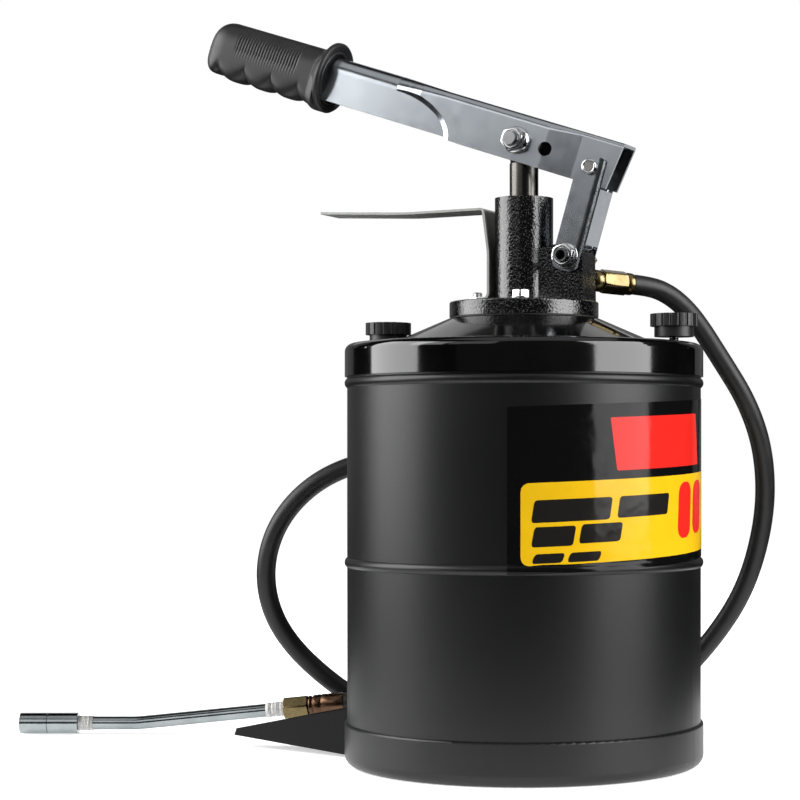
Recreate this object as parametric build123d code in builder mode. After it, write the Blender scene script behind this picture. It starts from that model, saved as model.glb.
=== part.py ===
from build123d import *
from math import cos, pi, radians, sin, tan
import os

# Hand-lever bucket pump for grease. Millimetres, +Z up, origin on the floor under the bucket's centre.
# The lever swings in the XZ plane: its grip is towards -X, its link and lug towards +X.

os.makedirs("parts", exist_ok=True)

# ---------------------------------------------------------------- driving dimensions
GAP = 0.3                 # between pieces that move past each other
SEAT = 0.05               # between pieces of one body that touch

BUCKET_R = 110.0          # bucket wall, outside
WALL = 1.4
RIM_Z = 254.5             # top edge of the bucket wall
SKIRT_R = 111.6           # thicker band at the bucket's foot
SKIRT_TOP = 26.6
FOOT_ROUND = 7.0
FOOT_IN_R = 100.0
FLOOR_Z = 7.5             # underside of the bucket bottom
FLOOR_T = 1.5
BEAD_R = 3.6
BEAD_PROUD = 1.6
BEAD_ZS = (125.2, 236.0)

LID_R = 111.5
LID_T = 1.2
LID_LOW = 240.0
LID_RIM = 260.4           # flat rim of the lid
LID_CORNER = 5.0
LID_TOP = 276.3           # flat that carries the pump head
CONE_R = 83.5             # foot of the lid's cone

FLANGE_R = 46.5
FLANGE_LOW = 277.3
FLANGE_TOP = 286.7
CYL_R = 18.2              # pump cylinder above the flange
CYL_TOP = 351.4
SPIGOT_R = 24.0
SPIGOT_LOW = 250.0
BOLT_PITCH_R = 35.0
BOLT_ANGLES = (-71.0, 49.0)
STRAP_BOLT_ANGLE = 169.0

ROD_R = 9.0
ROD_LOW = 78.0
PIVOT_Z = 386.2           # rod pivot at rest
BARREL_R = 20.0
BARREL_BORE = 17.0
BARREL_LOW = 40.0
BARREL_TOP = 270.0

LUG_X = 33.8              # link's lower pivot
LUG_Z = 313.4
LUG_HALF = 11.5
LUG_R = 9.2
LINK_LENGTH = 56.0
LINK_LEAN = 16.2          # degrees from vertical, towards +X
LINK_HALF = 14.8
LINK_T = 2.4
LINK_R = 8.8              # half the link's width in side view
LINK_HEAD = 7.0           # above its pin
LINK_FOOT = 9.0           # below its bolt

LEVER_TILT = 18.4         # degrees above horizontal, towards -X
LEVER_T = 2.0
LEVER_TOP = 17.0          # web above the rod pivot, across the lever
LEVER_LOW = -12.6
LEVER_END = -68.7
LEVER_TAIL = 220.0
SWAGE_U = 90.0            # the lever is full width up to here, round an elliptic pressing
LINK_HOLE_U = -52.9       # link pivot in the lever's own frame
LINK_HOLE_V = -2.45
SPARE_HOLE_U = -19.9
GRIP_START = 142.0
GRIP_END = 233.5
GUARD_R = 23.0

KNOB_LEFT = (-93.6, 261.9)       # x and underside
KNOB_RIGHT = (98.2, 263.3)
KNOB_COLLAR_H = 6.3
KNOB_H = 13.9
KNOB_R = 14.5
STUD_R = 3.0

OUTLET_ANGLE = 47.0       # plan direction of the hose fitting
OUTLET_DROP = 3.5
OUTLET_Z = 305.0
HOSE_D = 13.0
HOSE_R = HOSE_D / 2

FOLLOWER_Z = 214.0        # underside of the follower plate when the bucket is full


# ---------------------------------------------------------------- helpers
def level(z):
    return Plane.XY.offset(z)


def polar(radius, angle):
    return (radius * cos(radians(angle)), radius * sin(radians(angle)))


def at(x, y, z):
    return Plane(origin=(x, y, z))


def disc(plane, radius, height, mode=Mode.ADD):
    with BuildSketch(plane) as outline:
        Circle(radius)
    extrude(outline.sketch, amount=height, mode=mode)


def ring(plane, outer, inner, height, mode=Mode.ADD):
    with BuildSketch(plane) as outline:
        Circle(outer)
        Circle(inner, mode=Mode.SUBTRACT)
    extrude(outline.sketch, amount=height, mode=mode)


def hexagon(plane, flats, height, bore=0.0):
    with BuildSketch(plane) as outline:
        RegularPolygon(flats / 2, 6, major_radius=False)
        if bore > 0:
            Circle(bore, mode=Mode.SUBTRACT)
    extrude(outline.sketch, amount=height)


def flange_nut(plane, flats, height, bore):
    ring(plane, flats * 0.66, bore, 1.6)
    hexagon(plane.offset(1.6), flats, height - 1.6, bore)


# ---------------------------------------------------------------- bucket
with BuildPart() as bucket_shell:
    with BuildSketch(Plane.XZ) as wall_section:
        with Locations((BUCKET_R - WALL / 2, (RIM_Z + SKIRT_TOP) / 2 - 1)):
            Rectangle(WALL, RIM_Z - SKIRT_TOP + 2)
        with Locations(*[(BUCKET_R - BEAD_R + BEAD_PROUD, z) for z in BEAD_ZS]):
            Circle(BEAD_R)
        with Locations(*[(BUCKET_R - WALL - BEAD_R, z) for z in BEAD_ZS]):
            Rectangle(2 * BEAD_R, 2 * BEAD_R + 1, mode=Mode.SUBTRACT)
    with BuildSketch(Plane.XZ) as foot_section:
        with BuildLine():
            inner = BUCKET_R - WALL
            round_x = SKIRT_R - FOOT_ROUND
            slack = inner - round_x
            Polyline((FOOT_IN_R, 0), (round_x, 0))
            CenterArc((round_x, FOOT_ROUND), FOOT_ROUND, -90, 90)
            Line((SKIRT_R, FOOT_ROUND), (SKIRT_R, SKIRT_TOP - 1.5))
            CenterArc((SKIRT_R - 1.5, SKIRT_TOP - 1.5), 1.5, 0, 90)
            Polyline((SKIRT_R - 1.5, SKIRT_TOP), (inner, SKIRT_TOP), (inner, FOOT_ROUND))
            CenterArc((round_x, FOOT_ROUND), slack, 0, -90)
            Polyline((round_x, FOOT_ROUND - slack), (FOOT_IN_R, FOOT_ROUND - slack), (FOOT_IN_R, 0))
        make_face()
    revolve(wall_section.sketch, axis=Axis.Z)
    revolve(foot_section.sketch, axis=Axis.Z)
bucket_shell.part.label = "bucket_shell"
export_step(bucket_shell.part, "parts/bucket_shell.step")

with BuildPart() as bucket_bottom:
    disc(level(FLOOR_Z), BUCKET_R - WALL - SEAT, FLOOR_T)
bucket_bottom.part.label = "bucket_bottom"
export_step(bucket_bottom.part, "parts/bucket_bottom.step")

# Foot pedal: a folded sheet, widest and highest where it is welded to the bucket.
PEDAL_TIP = 204.0
PEDAL_ROOT = 104.0
PEDAL_T = 2.0


def pedal_section(x, half_width, low, high, corner):
    plane = Plane(origin=(-x, 0, 0), x_dir=(0, -1, 0), z_dir=(-1, 0, 0))
    with BuildSketch(plane) as section:
        with BuildLine():
            FilletPolyline((-half_width, low), (-half_width * 0.16, high), (half_width * 0.16, high),
                           (half_width, low), radius=corner)
            Line((half_width, low), (-half_width, low))
        make_face()
    return section.sketch


with BuildPart() as foot_pedal:
    loft([pedal_section(PEDAL_ROOT, 27, 1.5, 33, 3), pedal_section(PEDAL_TIP, 3.2, 7.6, 11.6, 0.3)])
    loft([pedal_section(PEDAL_ROOT - 1, 24.4, -0.5, 30.6, 2.4),
          pedal_section(PEDAL_TIP - 6, 2.0, 5.2, 9.2, 0.2)], mode=Mode.SUBTRACT)
    disc(level(-2), SKIRT_R + SEAT, 60, mode=Mode.SUBTRACT)
foot_pedal.part.label = "foot_pedal"
export_step(foot_pedal.part, "parts/foot_pedal.step")

with BuildPart() as knob_anchors:
    for knob_x, knob_low in (KNOB_LEFT, KNOB_RIGHT):
        with BuildSketch(level(244)) as bracket:
            with Locations((knob_x, 0)):
                Rectangle(24, 18)
                Circle(STUD_R + 0.35, mode=Mode.SUBTRACT)
        extrude(bracket.sketch, amount=5)
        with BuildSketch(level(238)) as web:
            with Locations((knob_x * BUCKET_R / abs(knob_x), 0)):
                Rectangle(26, 18)
            with Locations((knob_x, 0)):
                Circle(6, mode=Mode.SUBTRACT)
        extrude(web.sketch, amount=6)
    disc(level(230), BUCKET_R - WALL - SEAT, 30, mode=Mode.INTERSECT)
knob_anchors.part.label = "knob_anchors"
export_step(knob_anchors.part, "parts/knob_anchors.step")

# Panel label, wrapped round the wall on a slight slant.
LABEL_T = 0.25
LABEL_FROM = -73.0
LABEL_TO = 50.0
LABEL_Z = 178.5
LABEL_H = 88.0
LABEL_SLANT = 2.3

with BuildPart() as panel_label:
    with BuildSketch(level(LABEL_Z - LABEL_H)) as band:
        with BuildLine():
            for radius in (BUCKET_R + 0.02, BUCKET_R + 0.02 + LABEL_T):
                CenterArc((0, 0), radius, LABEL_FROM, LABEL_TO - LABEL_FROM)
            for angle in (LABEL_FROM, LABEL_TO):
                Line(polar(BUCKET_R + 0.02, angle), polar(BUCKET_R + 0.02 + LABEL_T, angle))
        make_face()
    extrude(band.sketch, amount=2 * LABEL_H)
    label_mid = (LABEL_FROM + LABEL_TO) / 2
    tilt = radians(LABEL_SLANT)
    out = Vector(cos(radians(label_mid)), sin(radians(label_mid)), 0)
    along = Vector(-sin(radians(label_mid)) * cos(tilt), cos(radians(label_mid)) * cos(tilt), sin(tilt))
    slab_plane = Plane(origin=(0, 0, LABEL_Z), x_dir=out, z_dir=out.cross(along))
    with BuildSketch(slab_plane.offset(-LABEL_H / 2)) as slab:
        Rectangle(400, 400)
    extrude(slab.sketch, amount=LABEL_H, mode=Mode.INTERSECT)
panel_label.part.label = "panel_label"
export_step(panel_label.part, "parts/panel_label.step")

# ---------------------------------------------------------------- lid
with BuildPart() as lid:
    with BuildSketch(Plane.XZ) as lid_section:
        with BuildLine() as outside:
            Line((LID_R, LID_LOW), (LID_R, LID_RIM - LID_CORNER))
            CenterArc((LID_R - LID_CORNER, LID_RIM - LID_CORNER), LID_CORNER, 0, 90)
            Polyline((LID_R - LID_CORNER, LID_RIM), (CONE_R, LID_RIM), (FLANGE_R + 0.4, LID_TOP),
                     (SPIGOT_R + 0.3, LID_TOP))
            Line((SPIGOT_R + 0.3, LID_TOP), (SPIGOT_R + 0.3, LID_TOP - LID_T))
            Polyline((SPIGOT_R + 0.3, LID_TOP - LID_T), (FLANGE_R + 0.1, LID_TOP - LID_T),
                     (CONE_R - 0.3, LID_RIM - LID_T), (LID_R - LID_CORNER, LID_RIM - LID_T))
            CenterArc((LID_R - LID_CORNER, LID_RIM - LID_CORNER), LID_CORNER - LID_T, 90, -90)
            Polyline((LID_R - LID_T, LID_RIM - LID_CORNER), (LID_R - LID_T, LID_LOW), (LID_R, LID_LOW))
        make_face()
    revolve(lid_section.sketch, axis=Axis.Z)
    for knob_x, knob_low in (KNOB_LEFT, KNOB_RIGHT):
        disc(at(knob_x, 0, LID_RIM - 10), STUD_R + 0.35, 20, mode=Mode.SUBTRACT)
    for angle in BOLT_ANGLES + (STRAP_BOLT_ANGLE,):
        disc(at(*polar(BOLT_PITCH_R, angle), LID_TOP - 10), 3.3, 20, mode=Mode.SUBTRACT)
lid.part.label = "lid"
export_step(lid.part, "parts/lid.step")

with BuildPart() as lid_gasket:
    ring(level(RIM_Z + GAP), LID_R - LID_T - 1.2, 103.5, 2.8)
    ring(level(RIM_Z + GAP + 2), LID_R - LID_CORNER, 103.5, LID_RIM - LID_T - SEAT - RIM_Z - GAP - 2)
lid_gasket.part.label = "lid_gasket"
export_step(lid_gasket.part, "parts/lid_gasket.step")

with BuildPart() as head_gasket:
    ring(level(LID_TOP + 0.02), FLANGE_R - 0.6, SPIGOT_R + 0.3, FLANGE_LOW - LID_TOP - 0.04)
    for angle in BOLT_ANGLES + (STRAP_BOLT_ANGLE,):
        disc(at(*polar(BOLT_PITCH_R, angle), LID_TOP - 1), 3.3, 5, mode=Mode.SUBTRACT)
head_gasket.part.label = "head_gasket"
export_step(head_gasket.part, "parts/head_gasket.step")

# ---------------------------------------------------------------- pump head casting
OUTLET_DIR = Vector(cos(radians(OUTLET_ANGLE)) * cos(radians(OUTLET_DROP)),
                    sin(radians(OUTLET_ANGLE)) * cos(radians(OUTLET_DROP)),
                    -sin(radians(OUTLET_DROP)))
OUTLET_SIDE = (-sin(radians(OUTLET_ANGLE)), cos(radians(OUTLET_ANGLE)), 0)


def outlet(distance):
    """Plane square to the outlet passage, this far out from the cylinder's axis."""
    return Plane(origin=Vector(0, 0, OUTLET_Z) + OUTLET_DIR * distance, x_dir=OUTLET_SIDE, z_dir=OUTLET_DIR)


BOSS_R = 9.6
BOSS_END = 29.0
GUIDE_R = 12.0
GUIDE_LOW = 326.0
GUIDE_TOP = 341.0
SEAL_TOP = 347.0
RING_R = 14.5
CHAMBER_R = 13.0

with BuildPart() as pump_head:
    disc(level(FLANGE_LOW), FLANGE_R, FLANGE_TOP - FLANGE_LOW)
    fillet(pump_head.edges().filter_by(GeomType.CIRCLE).sort_by(Axis.Z)[-1], 1.2)
    disc(level(FLANGE_TOP - 1), CYL_R, CYL_TOP - FLANGE_TOP + 1)
    with BuildSketch(Plane.XZ.offset(-LUG_HALF)) as lug:
        with BuildLine():
            Polyline((4, LUG_Z + 4), (4, FLANGE_TOP - 1), (LUG_X + LUG_R + 0.6, FLANGE_TOP - 1),
                     (LUG_X + LUG_R, LUG_Z))
            CenterArc((LUG_X, LUG_Z), LUG_R, 0, 105)
            Line(Vector(LUG_X, LUG_Z) + Vector(LUG_R, 0).rotate(Axis.Z, 105), (4, LUG_Z + 4))
        make_face()
    extrude(lug.sketch, amount=2 * LUG_HALF)
    disc(outlet(8), BOSS_R, BOSS_END - 8)
    disc(level(SPIGOT_LOW), SPIGOT_R, FLANGE_LOW - SPIGOT_LOW + 0.5)
    disc(level(SPIGOT_LOW - 1), BARREL_R + SEAT, BARREL_TOP - SPIGOT_LOW + 1, mode=Mode.SUBTRACT)
    disc(level(BARREL_TOP - 1), CHAMBER_R, GUIDE_LOW - BARREL_TOP + 1, mode=Mode.SUBTRACT)
    disc(level(GUIDE_LOW - 1), GUIDE_R, SEAL_TOP - GUIDE_LOW + 1, mode=Mode.SUBTRACT)
    disc(level(SEAL_TOP), RING_R, 10, mode=Mode.SUBTRACT)
    disc(outlet(10), 5.0, 40, mode=Mode.SUBTRACT)
    disc(outlet(18), 6.6, 40, mode=Mode.SUBTRACT)
    with BuildSketch(Plane.XZ.offset(-40)) as pivot_bore:
        with Locations((LUG_X, LUG_Z)):
            Circle(4.1)
    extrude(pivot_bore.sketch, amount=80, mode=Mode.SUBTRACT)
    for angle in BOLT_ANGLES + (STRAP_BOLT_ANGLE,):
        disc(at(*polar(BOLT_PITCH_R, angle), FLANGE_LOW - 1), 3.3, 20, mode=Mode.SUBTRACT)
pump_head.part.label = "pump_head"
export_step(pump_head.part, "parts/pump_head.step")

with BuildPart() as rod_guide:
    ring(level(GUIDE_LOW + SEAT), GUIDE_R - SEAT, ROD_R + 0.06, GUIDE_TOP - GUIDE_LOW - 2 * SEAT)
rod_guide.part.label = "rod_guide"
export_step(rod_guide.part, "parts/rod_guide.step")

with BuildPart() as rod_seal:
    ring(level(GUIDE_TOP + SEAT), GUIDE_R - SEAT, ROD_R + GAP, SEAL_TOP - GUIDE_TOP - 2 * SEAT)
rod_seal.part.label = "rod_seal"
export_step(rod_seal.part, "parts/rod_seal.step")

with BuildPart() as seal_ring:
    ring(level(SEAL_TOP + SEAT), RING_R - SEAT, ROD_R + 0.6, CYL_TOP - SEAL_TOP - 0.8)
seal_ring.part.label = "seal_ring"
export_step(seal_ring.part, "parts/seal_ring.step")

with BuildPart() as flange_bolts:
    for angle in BOLT_ANGLES:
        spot = polar(BOLT_PITCH_R, angle)
        disc(at(*spot, FLANGE_TOP + 0.02), 6.0, 0.8)
        disc(at(*spot, FLANGE_TOP - 20), 3.0, 21)
        hexagon(at(*spot, FLANGE_TOP + 0.8), 10, 4.0)
flange_bolts.part.label = "flange_bolts"
export_step(flange_bolts.part, "parts/flange_bolts.step")

with BuildPart() as flange_nuts:
    for angle in BOLT_ANGLES + (STRAP_BOLT_ANGLE,):
        hexagon(at(*polar(BOLT_PITCH_R, angle), LID_TOP - LID_T - 5.1), 10, 5, 3.05)
flange_nuts.part.label = "flange_nuts"
export_step(flange_nuts.part, "parts/flange_nuts.step")

# ---------------------------------------------------------------- hook strap
STRAP_W = 26.0
STRAP_T = 1.5
STRAP_TOP = 344.7
STRAP_END = 135.5
STRAP_FOOT_Z = FLANGE_TOP + 0.02 + STRAP_T / 2

with BuildPart() as hook_strap:
    with BuildSketch(Plane.XZ.offset(-STRAP_W / 2)) as strap_side:
        with BuildLine() as strap_line:
            FilletPolyline((-41, STRAP_FOOT_Z), (-19, STRAP_FOOT_Z), (-19, 318), (-22.6, STRAP_TOP),
                           (-77, STRAP_TOP - 0.8), (-STRAP_END, STRAP_TOP + 1.8),
                           radius=[5.5, 40, 2.2, 200])
        trace(line_width=STRAP_T)
    extrude(strap_side.sketch, amount=STRAP_W)
    disc(at(*polar(BOLT_PITCH_R, STRAP_BOLT_ANGLE), FLANGE_TOP - 1), 3.3, 4, mode=Mode.SUBTRACT)
    disc(level(FLANGE_TOP - 5), CYL_R + SEAT, 80, mode=Mode.SUBTRACT)
hook_strap.part.label = "hook_strap"
export_step(hook_strap.part, "parts/hook_strap.step")

with BuildPart() as strap_stud:
    spot = polar(BOLT_PITCH_R, STRAP_BOLT_ANGLE)
    disc(at(*spot, FLANGE_TOP - 20), 3.0, 27.4)
    chamfer(strap_stud.edges().filter_by(GeomType.CIRCLE).sort_by(Axis.Z)[-1], 0.7)
strap_stud.part.label = "strap_stud"
export_step(strap_stud.part, "parts/strap_stud.step")

with BuildPart() as strap_nut:
    hexagon(at(*polar(BOLT_PITCH_R, STRAP_BOLT_ANGLE), FLANGE_TOP + STRAP_T + 0.06), 10, 2.8, 3.05)
strap_nut.part.label = "strap_nut"
export_step(strap_nut.part, "parts/strap_nut.step")

# ---------------------------------------------------------------- barrel and foot valve
VALVE_LOW = 24.0
STRAINER_LOW = 14.0
BALL_R = 6.0

with BuildPart() as pump_barrel:
    ring(level(BARREL_LOW), BARREL_R, BARREL_BORE, BARREL_TOP - BARREL_LOW - SEAT)
pump_barrel.part.label = "pump_barrel"
export_step(pump_barrel.part, "parts/pump_barrel.step")

with BuildPart() as foot_valve_body:
    disc(level(VALVE_LOW), BARREL_R, BARREL_LOW - VALVE_LOW - SEAT)
    disc(level(BARREL_LOW - 1), BARREL_BORE - SEAT, 7)
    disc(level(VALVE_LOW + 4), BALL_R + GAP + 0.6, 30, mode=Mode.SUBTRACT)
    disc(level(VALVE_LOW - 1), 4.0, 30, mode=Mode.SUBTRACT)
foot_valve_body.part.label = "foot_valve_body"
export_step(foot_valve_body.part, "parts/foot_valve_body.step")

with BuildPart() as foot_valve_ball:
    with Locations((0, 0, VALVE_LOW + 4 + BALL_R + GAP)):
        Sphere(BALL_R)
foot_valve_ball.part.label = "foot_valve_ball"
export_step(foot_valve_ball.part, "parts/foot_valve_ball.step")

with BuildPart() as inlet_strainer:
    ring(level(STRAINER_LOW), BARREL_R, BARREL_R - 2, VALVE_LOW - STRAINER_LOW - SEAT)
    disc(level(VALVE_LOW - 2), BARREL_R - 1, 2 - SEAT)
    disc(level(VALVE_LOW - 3), 8, 6, mode=Mode.SUBTRACT)
    with BuildSketch(level(STRAINER_LOW - 2)) as slots:
        with PolarLocations(0, 4, 0, 180):
            SlotOverall(60, 7)
    extrude(slots.sketch, amount=8, mode=Mode.SUBTRACT)
inlet_strainer.part.label = "inlet_strainer"
export_step(inlet_strainer.part, "parts/inlet_strainer.step")

# ---------------------------------------------------------------- piston rod
PISTON_R = BARREL_BORE - 0.06
CUP_R = BARREL_BORE - GAP
ROD_SHOULDER = 374.2       # the rod is flattened above this
TANG_R = 7.4
TANG_HALF = 4.6

with BuildPart() as piston_rod:
    disc(level(ROD_LOW + 16), ROD_R, ROD_SHOULDER - ROD_LOW - 16)
    chamfer(piston_rod.edges().filter_by(GeomType.CIRCLE).sort_by(Axis.Z)[-1], 1.2)
    disc(level(ROD_LOW - 8), 4.0, 26)
    with BuildSketch(Plane.XZ.offset(-TANG_HALF)) as tang:
        with Locations((0, PIVOT_Z)):
            Circle(TANG_R)
        with Locations((0, (PIVOT_Z + ROD_SHOULDER) / 2 - 1)):
            Rectangle(2 * TANG_R, PIVOT_Z - ROD_SHOULDER + 2)
    extrude(tang.sketch, amount=2 * TANG_HALF)
    with BuildSketch(Plane.XZ.offset(-20)) as eye:
        with Locations((0, PIVOT_Z)):
            Circle(4.06)
    extrude(eye.sketch, amount=40, mode=Mode.SUBTRACT)
piston_rod.part.label = "piston_rod"
export_step(piston_rod.part, "parts/piston_rod.step")

with BuildPart() as piston:
    ring(level(ROD_LOW), PISTON_R, 4.0 + SEAT, 16 - SEAT)
    for z in (ROD_LOW + 3, ROD_LOW + 9):
        ring(level(z), PISTON_R + 1, 13.0, 3.5, mode=Mode.SUBTRACT)
piston.part.label = "piston"
export_step(piston.part, "parts/piston.step")

with BuildPart() as piston_cups:
    for z in (ROD_LOW + 3, ROD_LOW + 9):
        ring(level(z + SEAT), CUP_R, 13.0 + SEAT, 3.5 - 2 * SEAT)
piston_cups.part.label = "piston_cups"
export_step(piston_cups.part, "parts/piston_cups.step")

with BuildPart() as piston_nut:
    hexagon(level(ROD_LOW - 6.6), 13, 6.5, 4.0 + SEAT)
piston_nut.part.label = "piston_nut"
export_step(piston_nut.part, "parts/piston_nut.step")

# ---------------------------------------------------------------- lever
TILT = radians(LEVER_TILT)
ALONG = Vector(-cos(TILT), 0, sin(TILT))
LEVER = Plane(origin=(0, 0, PIVOT_Z), x_dir=ALONG, z_dir=(0, 1, 0))


def lever_point(u, v):
    return LEVER.from_local_coords(Vector(u, v, 0))


def lever_section(u, width, low, high, corner):
    """Cross-section of the lever, u along it from the rod pivot towards the grip."""
    plane = Plane(origin=lever_point(u, 0), x_dir=(0, -1, 0), z_dir=ALONG)
    with BuildSketch(plane) as section:
        with Locations((0, (low + high) / 2)):
            Rectangle(width, high - low)
        fillet(section.vertices().group_by(Axis.Y)[-1], corner)
    return section.sketch


# u, outer width, lower edge, upper edge, corner radius
WIDE_STATIONS = ((LEVER_END - 6, 22.6, LEVER_LOW, LEVER_TOP, 2.8), (-41, 22.6, LEVER_LOW, LEVER_TOP, 2.8),
                 (-19, 25.6, LEVER_LOW, LEVER_TOP, 5.0), (54, 25.6, LEVER_LOW, LEVER_TOP, 5.0),
                 (72, 25.6, -11.8, 17.5, 6.5), (SWAGE_U + 4, 21.8, -11.0, 18.1, 8.8))
NARROW_STATIONS = ((30, 21.0, -10.8, 16.4, 9.5), (54, 21.0, -10.8, 16.9, 9.5),
                   (SWAGE_U + 4, 21.0, -10.8, 18.0, 9.5), (LEVER_TAIL, 21.0, -10.8, 18.0, 9.5))
SWAGE_LOW = -14.0                # height of the pressing's centre
NARROW_HALF = 10.4
WIDE_HALF = 12.9


def swage_section(side, across, long_radius, high_radius):
    """Side view of the full-width zone, its far edge a quarter ellipse, this far out from the centre plane."""
    with BuildSketch(LEVER.offset(side * across)) as section:
        with BuildLine():
            Polyline((SWAGE_U - long_radius, SWAGE_LOW), (SWAGE_U - long_radius, -40), (-90, -40), (-90, 40),
                     (SWAGE_U, 40), (SWAGE_U, SWAGE_LOW + high_radius))
            EllipticalCenterArc((SWAGE_U, SWAGE_LOW), long_radius, high_radius, 90, arc_size=90)
        make_face()
    return section.sketch


def channel_bar(inset):
    """Solid bar under the lever's skin, inset evenly: full width, a dished step, then narrow with a round back."""
    long_in, long_out = 41 + inset, 47 + inset
    high_in, high_out = 22 + inset, 27 + inset
    with BuildPart() as full_width:
        for side in (-1, 1):
            loft([swage_section(side, NARROW_HALF - inset, long_in, high_in),
                  swage_section(side, WIDE_HALF + 1 - inset, long_out, high_out)])
        extrude(swage_section(-1, NARROW_HALF - inset, long_in, high_in), amount=2 * (NARROW_HALF - inset))
    with BuildPart() as bar:
        loft([lever_section(u, width - 2 * inset, low - 4.5 * inset, high - inset, max(corner - inset, 0.8))
              for u, width, low, high, corner in WIDE_STATIONS], ruled=True)
        add(full_width.part, mode=Mode.INTERSECT)
        loft([lever_section(u, width - 2 * inset, low - 4.5 * inset, high - inset, max(corner - inset, 0.8))
              for u, width, low, high, corner in NARROW_STATIONS], ruled=True)
    return bar.part


outer_bar = channel_bar(0)
inner_bar = channel_bar(LEVER_T)

with BuildPart() as lever_channel:
    add(outer_bar)
    add(inner_bar, mode=Mode.SUBTRACT)
    end_plane = Plane(origin=lever_point(LEVER_END - 1, LEVER_TOP), x_dir=(0, 1, 0),
                      z_dir=ALONG * -1 + Vector(-sin(TILT), 0, -cos(TILT)) * tan(radians(6.5)))
    split(bisect_by=end_plane.offset(-1.2), keep=Keep.BOTTOM)
    with BuildSketch(LEVER.offset(-30)) as holes:
        Circle(4.15)
        with Locations((SPARE_HOLE_U, 0)):
            Circle(4.4)
        with Locations((LINK_HOLE_U, LINK_HOLE_V)):
            Circle(4.1)
    extrude(holes.sketch, amount=60, mode=Mode.SUBTRACT)
lever_channel.part.label = "lever_channel"
export_step(lever_channel.part, "parts/lever_channel.step")

GRIP_HALF = 14.5
GRIP_ROUND = 15.0
LOBE_FIRST = 167.5
LOBE_PITCH = 20.2

with BuildPart() as lever_grip:
    with BuildSketch(LEVER.offset(-GRIP_HALF)) as grip_side:
        with BuildLine():
            Polyline((GRIP_START, -13), (GRIP_START, 21.4), (GRIP_END - GRIP_ROUND, 21))
            ThreePointArc((GRIP_END - GRIP_ROUND, 21), (GRIP_END, 3.5), (GRIP_END - GRIP_ROUND, -14))
            Line((GRIP_END - GRIP_ROUND, -14), (GRIP_START, -13))
        make_face()
        with Locations(*[(LOBE_FIRST + LOBE_PITCH * i, -12.0) for i in range(3)]):
            Ellipse(9.4, 6.0)
    extrude(grip_side.sketch, amount=2 * GRIP_HALF)
    with BuildSketch(Plane(origin=lever_point(GRIP_START, 1.5), x_dir=(0, -1, 0), z_dir=ALONG)) as oval:
        Ellipse(GRIP_HALF, 20.0)
    extrude(oval.sketch, amount=120, mode=Mode.INTERSECT)
    with BuildSketch(Plane(origin=lever_point(GRIP_END - GRIP_ROUND, -30), x_dir=ALONG,
                           z_dir=LEVER.y_dir)) as plan:
        with Locations((-50, 0)):
            Rectangle(100, 2 * GRIP_HALF + 1)
        Ellipse(GRIP_ROUND, GRIP_HALF + 0.5)
    extrude(plan.sketch, amount=60, mode=Mode.INTERSECT)
    disc(Plane(origin=lever_point(GRIP_START, 4.3), x_dir=(0, -1, 0), z_dir=ALONG), GUARD_R, 4.5)
    loft([lever_section(u, 21.0 + 0.2, -10.9, 18.1, 9.5) for u in (GRIP_START - 3, LEVER_TAIL + 0.2)],
         mode=Mode.SUBTRACT)
lever_grip.part.label = "lever_grip"
export_step(lever_grip.part, "parts/lever_grip.step")

ROD_BOLT_R = 4.0
LEVER_HALF = 25.6 / 2
BOLT_FRONT = Plane(origin=(0, -LEVER_HALF - 0.05, PIVOT_Z), x_dir=(1, 0, 0), z_dir=(0, -1, 0))
BOLT_BACK = Plane(origin=(0, LEVER_HALF + 0.05, PIVOT_Z), x_dir=(1, 0, 0), z_dir=(0, 1, 0))

with BuildPart() as rod_pivot_bolt:
    disc(BOLT_BACK.offset(-LEVER_HALF * 2 - 12.6), ROD_BOLT_R, LEVER_HALF * 2 + 12.6)
    disc(BOLT_BACK, 8.4, 1.4)
    hexagon(BOLT_BACK.offset(1.4), 13, 4.4)
rod_pivot_bolt.part.label = "rod_pivot_bolt"
export_step(rod_pivot_bolt.part, "parts/rod_pivot_bolt.step")

with BuildPart() as rod_pivot_nut:
    flange_nut(BOLT_FRONT, 13, 8.6, ROD_BOLT_R + SEAT)
rod_pivot_nut.part.label = "rod_pivot_nut"
export_step(rod_pivot_nut.part, "parts/rod_pivot_nut.step")

with BuildPart() as pivot_spacers:
    for side in (-1, 1):
        near = Plane(origin=(0, side * (TANG_HALF + GAP), PIVOT_Z), x_dir=(1, 0, 0), z_dir=(0, side, 0))
        ring(near, 7.0, ROD_BOLT_R + SEAT, LEVER_HALF - LEVER_T - TANG_HALF - GAP - SEAT)
pivot_spacers.part.label = "pivot_spacers"
export_step(pivot_spacers.part, "parts/pivot_spacers.step")

# ---------------------------------------------------------------- link
LEAN = radians(LINK_LEAN)
LINK = Plane(origin=(LUG_X, 0, LUG_Z), x_dir=(cos(LEAN), 0, -sin(LEAN)), z_dir=(0, -1, 0))
WEB_PLANE = Plane(origin=LINK.from_local_coords(Vector(0, 0, 0)), x_dir=(0, 1, 0), z_dir=LINK.x_dir)
LINK_INNER = LINK_HALF - LINK_T
WEB_LOW = 9.6
WEB_HIGH = 44.3

LINK_BEND = 4.5
LINK_TALL = LINK_FOOT + LINK_LENGTH + LINK_HEAD
LINK_BASE = Plane(origin=LINK.from_local_coords(Vector(0, -LINK_FOOT, 0)), x_dir=(0, 1, 0), z_dir=LINK.y_dir)

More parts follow.
